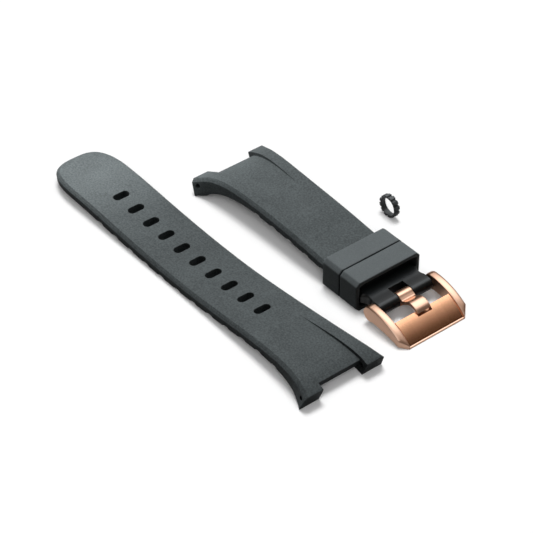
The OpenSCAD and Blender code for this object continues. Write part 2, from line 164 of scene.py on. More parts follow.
strap = {
    "width": 19.8, "thick": 3.0, "bevel": 0.95, "brow": 0.17, "bottomBevel": 0.25, "draft": 0.1,
    "hornWidth": 24.8, "hornThick": 5.0, "flareLength": 9.4,
    "notchWidth": 14.5, "notchDepth": 2.7, "boreRadius": 0.75, "boreIn": 1.8, "boreDown": 2.2,
    "panelDepth": 1.0, "panelLength": 25.0, "panelPower": 0.8, "panelFadeWidth": 11.2, "stepHalf": 0.07,
    "lean": 0.6, "leanLength": 5.0, "lip": 2.0,
    "grooveDepth": 0.4, "grooveWidth": 2.8, "grooveFloor": 1.4, "endRound": 0.15, "centreHalf": 4.2,
    "hornsX": 60.19604, "backX": -30.30396, "tailY": -21.6625, "buckleY": 11.3375,
}
tail = {
    "length": 120.8, "tipThick": 2.75, "tipLength": 15.0, "tipPower": 3.0, "thinLength": 25.0,
    "slots": 10, "slotPitch": 7.0, "slotStart": 34.1, "slotLength": 5.1, "slotWidth": 2.5, "slotRound": 0.11,
    "slotMargin": 0.08,
    "rise": [(0, 22), (7, 4), (14, -2), (22, -4.5), (36, -5.5), (48, -3.6), (58, -1.2), (64, 0), (76, 1.8),
             (90, 3.5), (98, 3), (106, 0.5), (113, -1.5), (125, -3)],
    "grooves": (16.6, 12),
}
short = {
    "length": 76.1, "eyeRadius": 1.9, "eyeLift": 0.15, "eyeHalf": 9.2, "gapHalf": 2.6, "gapLength": 3.3,
    "neckDepth": 1.05, "neckRadius": 3.0, "neckBack": 3.5, "eyeBore": 0.95,
    "dipLength": 3.0, "bevelLoss": 0.75, "bevelFrom": 6.5, "bevelFade": 2.5,
    "rise": [(0, 28), (4, 26), (8, 14), (13, 5), (18, 0.5), (26, -1.5), (38, -3), (46, -5), (56, -5.2),
             (64, -3), (80, -1.6)],
    "grooves": (26.6, 5),
}
stepShares = np.array([0.2, 0.5, 0.8, 1.0])  # columns on the step beside the sunk panel
hornBulk = [(0, 1), (4, 1.12), (7, 0.85), (11, 0.55), (15, 0.32), (20, 0.1), (24, 0)]


def table(pairs):
    return np.array(pairs, float).T


class Curve:
    # the line along a half's top face: x and z are the sums of cos and sin of the rise over small steps
    def __init__(self, rise, length, side, start, y):
        along, degrees = table(rise)
        step = 0.1
        self.s = np.arange(0, length + 4, step)
        slope = np.radians(np.interp(self.s + step / 2, along, degrees))
        self.x, self.z = [np.concatenate([[0], np.cumsum(step * part(slope))[:-1]]) for part in (np.cos, np.sin)]
        self.tilt = np.radians(np.interp(self.s, along, degrees))
        self.side, self.start, self.y = side, start, y
        self.z0 = strap["hornThick"] * math.cos(math.radians(rise[0][1]))

    def place(self, s, w, d):
        # the point at s along, w across and d below the top face: a step d along the face's downward normal
        s, w, d = np.broadcast_arrays(s, w, d)
        x, z = np.interp(s, self.s, self.x), np.interp(s, self.s, self.z)
        tilt = np.interp(s, self.s, self.tilt)
        return np.stack([self.start + self.side * (x + d * np.sin(tilt)), self.y + self.side * w,
                         self.z0 + z - d * np.cos(tilt)], axis=-1)


def panelFloor(s):
    # depth of the sunk panel: at the horns it is full, and it fades with a power of the way that is left
    share = np.clip(s / strap["panelLength"], 0, 1)
    return strap["panelDepth"] * (1 - share) ** strap["panelPower"]


def panelEdge(s):
    # half width of the sunk panel, which narrows in a straight line behind the notch
    share = np.clip((s - strap["notchDepth"]) / (strap["panelLength"] - strap["notchDepth"]), 0, 1)
    return strap["notchWidth"] / 2 + (strap["panelFadeWidth"] - strap["notchWidth"]) / 2 * share


def halfWidth(s):
    # half of the width at the sides: the plain half width and a flare that dies away exponentially
    plain = strap["width"] / 2
    return plain + (strap["hornWidth"] / 2 - plain + strap["bevel"]) * np.exp(-s / strap["flareLength"])


def plainThick(s):
    # thickness without the grooves: the plain one and a table's share of what the horns have more
    share = np.interp(s, *table(hornBulk))
    return strap["thick"] + (strap["hornThick"] - strap["thick"]) * share


def groove(s, first, count):
    # rounded hollows across the underside, one slot pitch apart from the first one on
    pitch = tail["slotPitch"]
    number = np.clip(np.round((s - first) / pitch), 0, count - 1)
    off = np.abs(s - first - number * pitch)
    flat, wide = strap["grooveFloor"] / 2, strap["grooveWidth"] / 2
    return strap["grooveDepth"] * (1 - smooth((off - flat) / (wide - flat)))


def undercut(s):
    # depth of the cut below the lip between the horns: it falls by 1 mm for each mm behind the notch
    return strap["panelDepth"] + strap["lip"] + (s - strap["notchDepth"])


def rimProfile(bevelShare, thick, s):
    # inset from the side and depth below the top face, a row per station, from the top edge down to the bottom:
    # the share shrinks the bevel, and at the horns the side leans out
    b, edge, bend = strap["bevel"], 0.06, 0.018  # the bevel's ends are rounded over edge, and their middle lies bend in
    across = np.array([[b + strap["brow"], 0], [b + edge, 0], [b, bend], [b - edge, edge], [0.56 * b, 0.44 * b],
                       [0.50 * b, 0.44 * b], [0.45 * b, 0.49 * b], [0.44 * b, 0.56 * b], [edge, b - edge],
                       [bend, b], [0, b + edge]])  # the bevel is hollow: its middle lies inside the straight line
    share, t, knee = bevelShare[:, None], thick[:, None], 0.29  # knee: a quarter circle's middle lies this share in
    topInset, topDepth = across[None, :, 0] * share, across[None, :, 1] * share
    topDepth = np.minimum(topDepth, t * across[None, :, 1] / (b + edge) * 0.5)
    sideShare = np.array([0.25, 0.5, 0.75])[None, :]
    lowNow = np.minimum(strap["bottomBevel"] * np.minimum(1, share * 4), 0.2 * t)
    draft = (strap["draft"] - strap["lean"] * np.exp(-s / strap["leanLength"]))[:, None] * share
    sideInset = draft * sideShare
    sideDepth = topDepth[:, -1:] + (t - lowNow - topDepth[:, -1:]) * sideShare
    return (beside(topInset, sideInset, draft, draft + knee * lowNow, draft + lowNow),
            beside(topDepth, sideDepth, t - lowNow, t - knee * lowNow, t))


def spread(a, b, count):
    # count evenly spaced columns from a to b, without a itself; a and b hold one value per row
    share = np.arange(1, count + 1) / count
    return a[:, None] + (b - a)[:, None] * share[None, :]


def halfColumns(s, edge, shrink, centre):
    # distances across, from the middle to the edge of the top face: the middle strip, the floor of the sunk panel,
    # its step and the raised band; and with them the panel's depth at each
    p, g = panelEdge(s), strap["stepHalf"]
    middle = centre[None, :] * shrink[:, None]
    floor = spread(strap["centreHalf"] * shrink, (p - g) * shrink, 3)
    step = (p[:, None] - g + 2 * g * stepShares[None, :]) * shrink[:, None]
    band = spread(step[:, -1], edge, 4)
    depth = panelFloor(s)[:, None]
    fall = 1 - smooth(stepShares)[None, :]
    return (beside(middle, floor, step, band),
            beside(np.repeat(depth, middle.shape[1] + 3, axis=1), depth * fall, *[0] * 4))


def mirrored(half, sign=-1):
    # a whole row of columns from the half of it that starts at the middle
    return np.concatenate([sign * half[:, :0:-1], half], axis=1)


def strapShell(curve, rows, halfAt, topAt, bottomAt, bevelAt, centre, slotRows, gapFrom):
    # the shell of one half: rows across it at the stations, with the top's columns, the rims and the bottom's columns.
    # Horns, slots and the tongue's gap are grids of their own that share its edge points
    notch = strap["notchDepth"]
    s = rows["s"]
    half = halfAt(s)
    top, bottom = topAt(s), bottomAt(s)
    inset, depth = rimProfile(bevelAt(s), bottom - top, s)
    inset, depth = inset * rows["insetShare"][:, None], depth + top[:, None]
    rimS = s[:, None] - rows["normalS"][:, None] * inset
    rimW = half[:, None] - rows["normalW"][:, None] * inset
    topHalf, sink = halfColumns(s, rimW[:, 0], rows["shrink"], centre)
    bottomHalf = topHalf.copy()
    firstBand = topHalf.shape[1] - 4
    bottomHalf[:, firstBand:] = spread(topHalf[:, firstBand - 1], rimW[:, -1], 4)
    columns = topHalf.shape[1]
    full = 2 * columns - 1
    # the top and the bottom take their station from the rim's first and last point, so a rounded tip closes
    topS, bottomS = np.repeat(rimS[:, :1], full, axis=1), np.repeat(rimS[:, -1:], full, axis=1)
    first = int(np.argmax(s >= notch - 1e-6))
    middle = columns - 1
    strip = len(centre) - 1  # columns in half of the middle strip
    wall = strip + 3  # columns from the middle to the foot of the step
    gapColumns, gapRows = 4, 6  # the tongue's gap: columns in half of its width, and quads up its walls
    behindNotch = np.arange(len(s) - 1)[:, None] >= first
    keep = np.repeat(behindNotch, full - 1, axis=1)
    if slotRows:
        keep[slotRows[0]:slotRows[1], middle - strip:middle + strip] = False
    if gapFrom is not None:
        keep[gapFrom:, middle - gapColumns:middle + gapColumns] = False
    bottomDepth = np.repeat(bottom[:, None], columns, axis=1)
    bottomDepth[:, :wall + 1] = np.minimum(bottomDepth[:, :wall + 1], undercut(s)[:, None])
    parts = [sheet(curve.place(topS, mirrored(topHalf), mirrored(sink, 1) + top[:, None]), keep=keep),
             sheet(curve.place(bottomS, mirrored(bottomHalf), mirrored(bottomDepth, 1)), keep=keep)]
    keepRim = np.repeat(behindNotch, inset.shape[1] - 1, axis=1)
    parts += [sheet(curve.place(rimS, way * rimW, depth), keep=keepRim) for way in (-1, 1)]
    # horns: closed loops of band, rim, underside and inner wall, one loop per station up to the notch's back wall
    floorAt, lipAt = float(panelFloor(np.array([notch]))[0]), float(undercut(notch))
    n = first + 1
    loopW = beside(topHalf[:n, wall + 4:-1], rimW[:n], bottomHalf[:n, wall:-1][:, ::-1], *[topHalf[:n, wall]] * 5,
                   topHalf[:n, wall:wall + 4])
    loopD = beside(*[0] * 4, depth[:n], *[bottom[:n]] * (columns - 1 - wall), (bottom[:n] + lipAt) / 2,
                   *(lipAt - (lipAt - floorAt) * np.arange(4) / 4),
                   *(floorAt * (1 - smooth(np.append(0, stepShares[:-1])))))
    centreW, centreD = loopW.mean(axis=1, keepdims=True), loopD.mean(axis=1, keepdims=True)
    toward = np.stack([centreW - loopW, centreD - loopD], axis=-1)
    toward = unit(toward) * rows["endInset"][:n, None, None]
    loopW, loopD = loopW + toward[..., 0], loopD + toward[..., 1]
    parts += [tube(curve.place(s[:n, None], way * loopW, loopD), lastCap=False) for way in (-1, 1)]
    # the notch's back wall down to the lip's lower edge, and beside it a small face at each end of the undercut
    across = mirrored(topHalf[first:first + 1, :wall + 1])
    parts.append(sheet(curve.place(notch, across, floorAt + (lipAt - floorAt) * np.arange(5)[:, None] / 4)))
    inside, outside, low = topHalf[first, wall], bottomHalf[first, wall + 1], bottom[first]
    across, down = np.array([inside, inside, inside, outside]), np.array([lipAt, (lipAt + low) / 2, low, low])
    parts += [(curve.place(notch, way * across, down), [[0, 1, 2, 3]]) for way in (-1, 1)]
    if gapFrom is not None:
        # the tongue's gap: two side walls and a back wall between the top and the bottom
        share = np.arange(gapRows + 1)[None, :] / gapRows
        down = top[gapFrom:, None] + (bottom - top)[gapFrom:, None] * share
        side = topHalf[gapFrom:, gapColumns, None]
        parts += [sheet(curve.place(s[gapFrom:, None], way * side, down)) for way in (-1, 1)]
        across = mirrored(topHalf[gapFrom:gapFrom + 1, :gapColumns + 1])
        parts.append(sheet(curve.place(s[gapFrom], across, down[:1].T)))
    return parts


def slotCells(curve, centre, perCell, bottomAt):
    # the slots and the strip round them: loops from a rectangle to the slot's rounded rim, down its wall and out below.
    # A ray from the middle through each outer point finds its place on the slot's outline
    parts = []
    a, r = (tail["slotLength"] - tail["slotWidth"]) / 2, tail["slotWidth"] / 2
    f, pitch = tail["slotRound"], tail["slotPitch"]
    acrossAll = np.concatenate([-centre[:0:-1], centre])
    alongAll = np.linspace(-pitch / 2, pitch / 2, perCell + 1)
    side = np.concatenate([beside(-pitch / 2, acrossAll[:-1]), beside(alongAll[:-1], acrossAll[-1]),
                           beside(pitch / 2, acrossAll[:0:-1]), beside(alongAll[:0:-1], acrossAll[0])])
    ray = unit(side)
    flat = r / np.maximum(np.abs(ray[:, 0]), 1e-9)
    curved = a * np.abs(ray[:, 1]) + np.sqrt(np.maximum(r * r - a * a * ray[:, 0] ** 2, 0))
    hole = ray * np.where(np.abs(flat * ray[:, 1]) <= a, flat, curved)[:, None]
    normal = unit(hole - beside(0, np.clip(hole[:, 1], -a, a)))
    # loops of the rim: share of the way from the rectangle, how far out of the slot's wall and how deep
    loops = [(share, f + tail["slotMargin"], 0.0) for share in (0, 0.35, 0.7, 1)]
    loops += [(1, f * (1 - math.sin(q)), f * (1 - math.cos(q))) for q in np.radians([0, 22.5, 45, 67.5, 90])]
    rim = [(side + (hole + normal * out - side) * share, down) for share, out, down in loops]
    for number in range(tail["slots"]):
        at = tail["slotStart"] + number * pitch
        wallThick = bottomAt(at + hole[:, 0]) - 2 * f
        stack = rim + [(hole, f + wallThick * share) for share in (0.2, 0.4, 0.6, 0.8)]
        stack += [(p, bottomAt(at + p[:, 0]) - down) for p, down in rim[::-1]]
        parts.append(sheet(np.stack([curve.place(at + p[:, 0], p[:, 1], down) for p, down in stack]), closeCols=True))
    return parts


def makeRows(stations, extra=0):
    # the stations after those that round the end faces' edge in quarter circle steps
    turn = np.radians([90, 60, 30, 0])
    s = np.concatenate([strap["endRound"] * (1 - np.sin(turn)), stations])
    n = len(s) + extra
    return {"s": s, "shrink": np.ones(n), "normalS": np.zeros(n), "normalW": np.ones(n), "insetShare": np.ones(n),
            "endInset": np.concatenate([strap["endRound"] * (1 - np.cos(turn)), np.zeros(n - len(turn))])}


def buildTail():
    # the long half: even rows along the straight part, ten slots in it, and a rounded tip
    curve = Curve(tail["rise"], tail["length"], -1, strap["hornsX"], strap["tailY"])
    centre = strap["centreHalf"] * np.arange(9) / 8
    perCell = 14
    first = tail["slotStart"] - tail["slotPitch"] / 2
    last = first + tail["slots"] * tail["slotPitch"]
    tipFrom = tail["length"] - tail["tipLength"]
    stations = through(strap["endRound"], (strap["notchDepth"], 5), (first, 55), (last, tail["slots"] * perCell),
                       (tipFrom, 21))
    # the tip: a superellipse, with the normal of its outline
    turn = np.linspace(0, 0.5 * np.pi, 42)[1:]
    turn[-1] = 0.5 * np.pi
    power = 2 / tail["tipPower"]
    plain = strap["width"] / 2
    along, across = np.sin(turn) ** power, np.maximum(np.cos(turn), 0) ** power
    across[-1] = 0
    rows = makeRows(stations, len(turn))
    normal = np.stack([along ** (tail["tipPower"] - 1) / tail["tipLength"], across ** (tail["tipPower"] - 1) / plain])
    normal /= np.linalg.norm(normal, axis=0)
    bodyRows = len(rows["s"])
    rows["s"] = np.concatenate([rows["s"], tipFrom + tail["tipLength"] * along])
    rows["normalS"][bodyRows:], rows["normalW"][bodyRows:] = normal

    def halfAt(s):
        width = halfWidth(s)
        width[bodyRows:] *= across
        return width

    def thickAt(s):
        # over its last part the strap thins in a straight line, and the grooves are taken off all along
        back = tail["length"] - s
        thin = tail["tipThick"] + (strap["thick"] - tail["tipThick"]) * np.clip(back / tail["thinLength"], 0, 1)
        return np.where(back > tail["thinLength"], plainThick(s), thin) - groove(s, *tail["grooves"])

    # columns shrink with the tip's inner outline
    inner = halfAt(rows["s"]) - rows["normalW"] * (strap["bevel"] + strap["brow"])
    rows["shrink"][bodyRows:] = np.clip(inner[bodyRows:] / inner[bodyRows - 1], 0, 1)
    slotRows = [int(np.argmin(np.abs(rows["s"][:bodyRows] - edge))) for edge in (first, last)]
    parts = strapShell(curve, rows, halfAt, np.zeros_like, thickAt, np.ones_like, centre, slotRows, None)
    parts += slotCells(curve, centre, perCell, thickAt)
    return weld("tail_rubber", [parts]), curve


def buildShort():
    # the short half: it narrows at a neck and ends in an eye round the spring bar, open in the middle for the tongue
    curve = Curve(short["rise"], short["length"], 1, strap["backX"], strap["buckleY"])
    g, length, r = short["gapHalf"], short["length"], short["eyeRadius"]
    centre = np.concatenate([g * np.arange(5) / 4, g + (strap["centreHalf"] - g) * np.arange(1, 5) / 4])
    gapAt = length - short["gapLength"]
    turn = np.linspace(0, 0.5 * np.pi, 22)
    stations = through(strap["endRound"], (strap["notchDepth"], 5), (length - 8, 129), (gapAt, 19), (length, 17))
    rows = makeRows(np.concatenate([stations, length + r * np.sin(turn)[1:]]))
    rows["insetShare"] = np.where(rows["s"] > length, np.sqrt(np.clip(1 - ((rows["s"] - length) / r) ** 2, 0, 1)), 1.0)
    gapFrom = int(np.argmin(np.abs(rows["s"] - gapAt)))
    centreDepth = r - short["eyeLift"]

    def halfAt(s):
        # plain half width, hollowed by a circle of the neck's radius, and then the eye's
        width = halfWidth(s)
        neck = length - short["neckBack"]
        hub = strap["width"] / 2 - short["neckDepth"] + short["neckRadius"]
        hollow = hub - bow(s, neck, short["neckRadius"])
        width = np.where(np.abs(s - neck) < short["neckRadius"] - 0.4, np.minimum(width, hollow), width)
        return np.where((s > neck) & (width > short["eyeHalf"]), short["eyeHalf"], width)

    def topAt(s):
        # the face dips by the eye's lift before the eye, and then it is the eye's circle
        rise = -short["eyeLift"] * smooth((s - length) / short["dipLength"] + 1)
        return np.where(s > length, centreDepth - bow(s, length, r), rise)

    def bottomAt(s):
        # the underside runs down to the eye's lowest point, and then it is the eye's circle
        thick = plainThick(s) - groove(s, *short["grooves"])
        low = centreDepth + r
        thick = thick + (low - thick) * smooth((s - length + r) / r)
        return np.where(s > length, centreDepth + bow(s, length, r), thick)

    def bevelAt(s):
        # full along the strap and a quarter at the eye
        return 1 - short["bevelLoss"] * smooth((s - length + short["bevelFrom"]) / short["bevelFade"])

    parts = strapShell(curve, rows, halfAt, topAt, bottomAt, bevelAt, centre, None, gapFrom)
    return weld("buckle_rubber", [parts]), curve


keeper = {
    "length": 6.7, "height": 9.6, "wall": 1.15, "bevel": 1.15, "gap": 0.15, "cornerRound": 0.3, "insideRound": 0.8,
    "edgeRound": 0.22, "mouthRound": 0.18, "fixedX": 32.1291, "slidingX": 25.0291,
}


def cornered(corners, radius, steps):
    # a closed outline with each corner replaced by a quadratic curve that starts radius before it
    out = []
    n = len(corners)
    share = np.linspace(0, 1, steps)[:, None]
    for k in range(n):
        before, here, after = (np.array(corners[(k + q) % n], float) for q in (-1, 0, 1))
        a, b = here + unit(before - here) * radius, here + unit(after - here) * radius
        out.append((1 - share) ** 2 * a + 2 * share * (1 - share) * here + share ** 2 * b)
    return np.concatenate(out)


def refine(loop, most):
    # adds points to a closed outline so that none lie further apart than most
    out = []
    for a, b in zip(loop, np.roll(loop, -1, axis=0)):
        count = max(1, int(np.ceil(np.linalg.norm(b - a) / most)))
        out.append(a + (b - a) * (np.arange(count) / count)[:, None])
    return np.concatenate(out)


def roundedBoxHit(ray, halfY, halfZ, radius):
    # how far each ray from the middle goes to reach a rounded rectangle, by halving an interval
    low, high = np.zeros(len(ray)), np.full(len(ray), 30.0)
    for _ in range(40):
        mid = (low + high) / 2
        q = np.abs(ray * mid[:, None]) - np.array([halfY - radius, halfZ - radius])
        away = np.linalg.norm(np.maximum(q, 0), axis=1) + np.minimum(q.max(axis=1), 0) - radius
        low, high = np.where(away < 0, mid, low), np.where(away < 0, high, mid)
    return (low + high) / 2


def buildKeeper(name, x):
    # a loop carried round the strap: its section goes along the outside, round each mouth and back along the inside
    k = keeper
    halfY = strap["width"] / 2 + k["gap"] + k["wall"]
    h, b = k["height"], k["bevel"]
    corners = [(-halfY + b, 0), (halfY - b, 0), (halfY, b), (halfY, h - b), (halfY - b, h), (-halfY + b, h),
               (-halfY, h - b), (-halfY, b)]
    outer = refine(cornered(corners, k["cornerRound"], 6), 1.1)
    middle = np.array([0, h / 2])
    ray = unit(outer - middle)
    inner = middle + ray * roundedBoxHit(ray, halfY - k["wall"], h / 2 - k["wall"], k["insideRound"])[:, None]
    across = unit(inner - outer)
    f, m, length = k["edgeRound"], k["mouthRound"], k["length"]
    turn = np.radians([0, 22.5, 45, 67.5, 90])
    section = [(f + (length - 2 * f) * q, 0, 0) for q in (0, 0.06, 0.5, 0.94, 1)]
    section += [(length - f + f * math.sin(q), f * (1 - math.cos(q)), 0) for q in turn[1:]]
    section += [(length, -m, 1)] + [(length - m + m * math.cos(q), -m * (1 - math.sin(q)), 1) for q in turn[1:]]
    section += [(m + (length - 2 * m) * q, 0, 1) for q in (0.94, 0.5, 0.06)]
    section += [(m - m * math.cos(q), -m * (1 - math.sin(q)), 1) for q in turn[::-1]]
    section += [(f - f * math.sin(q), f * (1 - math.cos(q)), 0) for q in turn[:0:-1]]
    loops = []
    for along, off, inside in section:
        place = (inner + across * off) if inside else (outer + across * off)
        loops.append(beside(x + along, strap["buckleY"] + place[:, 0], place[:, 1]))
    return weld(name, [[sheet(np.stack(loops), True, True)]])


buckle = {
    "x": 44.92911, "z": 3.82907, "width": 23.8, "cheek": 2.3, "length": 13.8, "endRadius": 2.3, "plateLength": 6.5,
    "plateThick": 1.5, "plateDrop": 0.36, "plateTurn": 0.3, "seam": 0.28, "seamIn": 0.22, "seamFall": 0.12,
    "crownFrom": 0.3, "soleFrom": 1.2, "frontHeight": 0.9,
    "crownDrop": 0.34, "soleEdge": 0.12, "cornerCut": 2.1, "notchCorner": 0.18, "backEdge": 0.12, "sharp": 24,
    "tongueWidth": 4.7, "tongueThick": 1.2, "tongueLength": 8.5, "tongueGap": 0.12, "notchFloor": 0.35, "lip": 0.3,
    "tongueBore": 0.95, "tongueWrap": 1.02, "tongueEdge": 0.16, "tongueSharp": 28,
}


def circleThrough(a, b, c):
    # the middle and radius of the circle through three points
    (ax, ay), (bx, by), (cx, cy) = a, b, c
    d = 2 * (ax * (by - cy) + bx * (cy - ay) + cx * (ay - by))
    qa, qb, qc = ax * ax + ay * ay, bx * bx + by * by, cx * cx + cy * cy
    x = (qa * (by - cy) + qb * (cy - ay) + qc * (ay - by)) / d
    z = (qa * (cx - bx) + qb * (ax - cx) + qc * (bx - ax)) / d
    return x, z, math.hypot(ax - x, ay - z)


def buckleLines():
    # height of the cheeks' crown and sole and of the plate at x ahead of the bar: a circle round the bar, and ahead of
    # it circles through three points each, which are the CAD's
    b = buckle
    low, r, crownFrom, soleFrom = -b["z"], b["endRadius"], b["crownFrom"], b["soleFrom"]
    crown = circleThrough((crownFrom, r), (0.63 * b["length"], 0.5), (b["length"] - 0.2, low + 1.2))
    sole = circleThrough((soleFrom, -r + 0.35), (0.62 * b["length"], -2.75), (b["length"] - 0.9, low))

    def crownAt(x):
        arc = crown[1] + bow(x, crown[0], crown[2])
        return np.where(x < crownFrom, bow(x, 0, r), np.maximum(arc, low + b["frontHeight"]))

    def soleAt(x):
        return np.where(x < soleFrom, -bow(x, 0, r), np.maximum(sole[1] + bow(x, sole[0], sole[2]), low))

    def plateAt(x, drop):
        return crown[1] + bow(x, crown[0], crown[2] - drop)

    return crownAt, soleAt, plateAt


def atBar(x, y, z):
    # points ahead of, beside and above the middle of the spring bar
    return np.stack(np.broadcast_arrays(x + buckle["x"], y + strap["buckleY"], z + buckle["z"]), axis=-1)


def buildFrame():
    b = buckle
    crownAt, soleAt, plateAt = buckleLines()
    inner, outer, front = b["width"] / 2 - b["cheek"], b["width"] / 2, b["length"]
    # cheeks: rings across them at stations x, each with bevels along the crown and the sole
    corner = front - b["cornerCut"]
    x = np.concatenate([-b["endRadius"] * np.cos(np.linspace(0.09, 0.5 * np.pi, 26)),
                        through(0, (corner, 59), (front, 13))])
    top, bottom = crownAt(x), soleAt(x)
    room = np.minimum(1, (top - bottom) / 1.6)
    outY = np.maximum(outer - np.clip(x - corner, 0, None), inner + 0.02)
    # across a cheek: share of the way from the inner to the outer face, and how far below the crown
    across = np.array([(0, 0.55), (0.03, 0.3), (0.1, 0.17), (0.22, 0.07), (0.36, 0.01), (0.5, 0), (0.66, 0.05),
                       (0.8, 0.17), (0.9, 0.36), (0.97, 0.66), (1, 1)])
    low = b["soleEdge"] * room * np.minimum(1, (outY - inner) / 1.2)
    half = (top + bottom) / 2
    ringY = beside(inner + (outY - inner)[:, None] * across[None, :, 0], outY, outY, outY - low, inner + low, inner,
                   inner)
    ringZ = beside(top[:, None] - (b["crownDrop"] * room)[:, None] * across[None, :, 1], half, bottom + low, bottom,
                   bottom, bottom + low, half)
    parts = [tube(atBar(x[:, None], way * ringY, ringZ)) for way in (-1, 1)]
    # plate: an outline across the buckle whose back edge steps round the tongue's notch, and an arc section
    notchY, notchX, r = b["tongueWidth"] / 2 + b["tongueGap"], b["tongueLength"] + 2 * b["tongueGap"], b["notchCorner"]
    backX = front - b["plateLength"]
    turn = np.linspace(0, 0.5 * np.pi, 6)
    outsideCorner = beside(backX + r * (1 - np.sin(turn)), notchY + r * (1 - np.cos(turn)))
    insideCorner = beside(notchX - r * (1 - np.sin(turn)), notchY - r * (1 - np.cos(turn)))
    # the last five columns step down into the seam beside the cheek and run on inside it
    halfLine = np.concatenate([beside(notchX, np.linspace(0, notchY - r, 13)[:-1]), insideCorner[::-1], outsideCorner,
                               beside(backX, np.linspace(notchY + r, inner - b["seamIn"], 13)[1:]),
                               beside(backX, inner + np.array([-0.16, -0.1, 0.02, 0.25]))])
    line = np.concatenate([halfLine[:0:-1] * [1, -1], halfLine])
    arcEnd, f = front - b["lip"], b["backEdge"]
    v = np.linspace(0, 1, 26)
    topX = line[:, :1] + f + (arcEnd - line[:, :1] - f) * v[None, :]
    topZ = plateAt(topX, b["plateDrop"] + b["plateTurn"] * ((topX - backX) / b["plateLength"] - 0.5))
    topZ = topZ - b["seam"] * smooth((np.abs(line[:, 1:2]) - inner + b["seamIn"]) / b["seamFall"])
    lowX = topX[:, ::-1]
    lowZ = np.maximum(np.maximum(plateAt(lowX, b["plateDrop"] + b["plateThick"]), soleAt(lowX)), -b["z"])
    endTop = float(topZ[len(line) // 2, -1])
    sectionX = beside(topX, arcEnd + 0.02, arcEnd + 0.1, front - 0.02, front, front, lowX, line[:, 0], line[:, 0])
    sectionZ = beside(topZ, endTop - 0.02, endTop - 0.02, endTop - 0.1, endTop - 0.16, -b["z"], lowZ,
                      lowZ[:, -1] + f, topZ[:, 0] - f)
    # the plate's ends follow the cheeks' cut front corners
    reach = np.maximum(outer - np.clip(sectionX - corner, 0, None) - 0.01, inner - 0.3)
    parts.append(tube(atBar(sectionX, np.clip(line[:, 1:2], -reach, reach), sectionZ)))
    # the notch's floor: a slab under the tongue's tip whose underside follows the plate's
    x = np.linspace(backX + 0.02, notchX + 0.2, 12)
    low = plateAt(x, b["plateDrop"] + b["plateThick"]) + 0.01
    slab = beside(low, low, -b["notchFloor"], -b["notchFloor"])
    parts.append(tube(atBar(x[:, None], np.array([-1, 1, 1, -1]) * (notchY + 0.2), slab)))
    return weld("buckle_metal_frame", [[part] for part in parts], b["sharp"])


def throughPoints(points, perSpan):
    # a smooth line through points (Catmull-Rom)
    p = np.asarray(points, float)
    p = np.concatenate([2 * p[:1] - p[1:2], p, 2 * p[-1:] - p[-2:-1]])
    t = (np.arange(perSpan) / perSpan)[:, None]
    out = [0.5 * (2 * b + (c - a) * t + (2 * a - 5 * b + 4 * c - d) * t ** 2 + (3 * b - a - 3 * c + d) * t ** 3)
           for a, b, c, d in zip(p[:-3], p[1:-2], p[2:-1], p[3:])]
    return np.concatenate(out + [p[-2:-1]])


def buildTongue():
    # a strip bent round the bar and forward into the notch: a rounded section carried along a line in the XZ plane
    b = buckle
    radius = b["tongueBore"] + b["tongueWrap"] / 2 + 0.02
    angles = np.radians(np.linspace(-28, -292, 30))
    eye = beside(radius * np.cos(angles), radius * np.sin(angles))
    ahead = throughPoints([eye[-1], (1.32, 0.86), (2.15, 0.47), (3.1, 0.72), (4.1, 1.38), (5.1, 1.76), (6.2, 1.64),
                           (7.3, 1.2), (b["tongueLength"] - 0.35, 0.47)], 8)
    line = np.concatenate([eye[:-1], ahead])
    step = unit(np.gradient(line, axis=0))
    share = np.clip((np.arange(len(line)) - len(eye)) / (len(ahead) - 1), 0, 1)
    half = (b["tongueWrap"] + (b["tongueThick"] * 0.75 - b["tongueWrap"]) * share)[:, None] / 2
    # the section: places across, and offsets from the line
    halfW, r = b["tongueWidth"] / 2, b["tongueEdge"]
    turn = np.radians([0, 30, 60, 90])
    edge = beside(halfW - r + r * np.sin(turn), r * (1 - np.cos(turn)))
    upper = np.concatenate([beside(np.linspace(-halfW + r, halfW - r, 5), 0), edge[1:]])
    across = np.concatenate([upper[:, 0], [halfW], edge[::-1, 0], np.linspace(halfW - r, -halfW + r, 5)[1:],
                             -edge[1:, 0], [-halfW], -edge[:0:-1, 0]])
    off = beside(half - upper[:, 1], 0, edge[::-1, 1] - half, *[-half] * 4, edge[1:, 1] - half, 0,
                 half - edge[:0:-1, 1])
    points = atBar(line[:, :1] - step[:, 1:] * off, across, line[:, 1:] + step[:, :1] * off)
    return weld("tongue_metal", [[tube(points)]], b["tongueSharp"])


ring = {"x": 13.09604, "y": 34.6375, "z": 3.439, "radius": 3.45, "root": 3.0, "bore": 2.65, "width": 1.75, "teeth": 12,
        "gap": 0.55, "round": 0.16, "chamfer": 0.12, "sharp": 40}


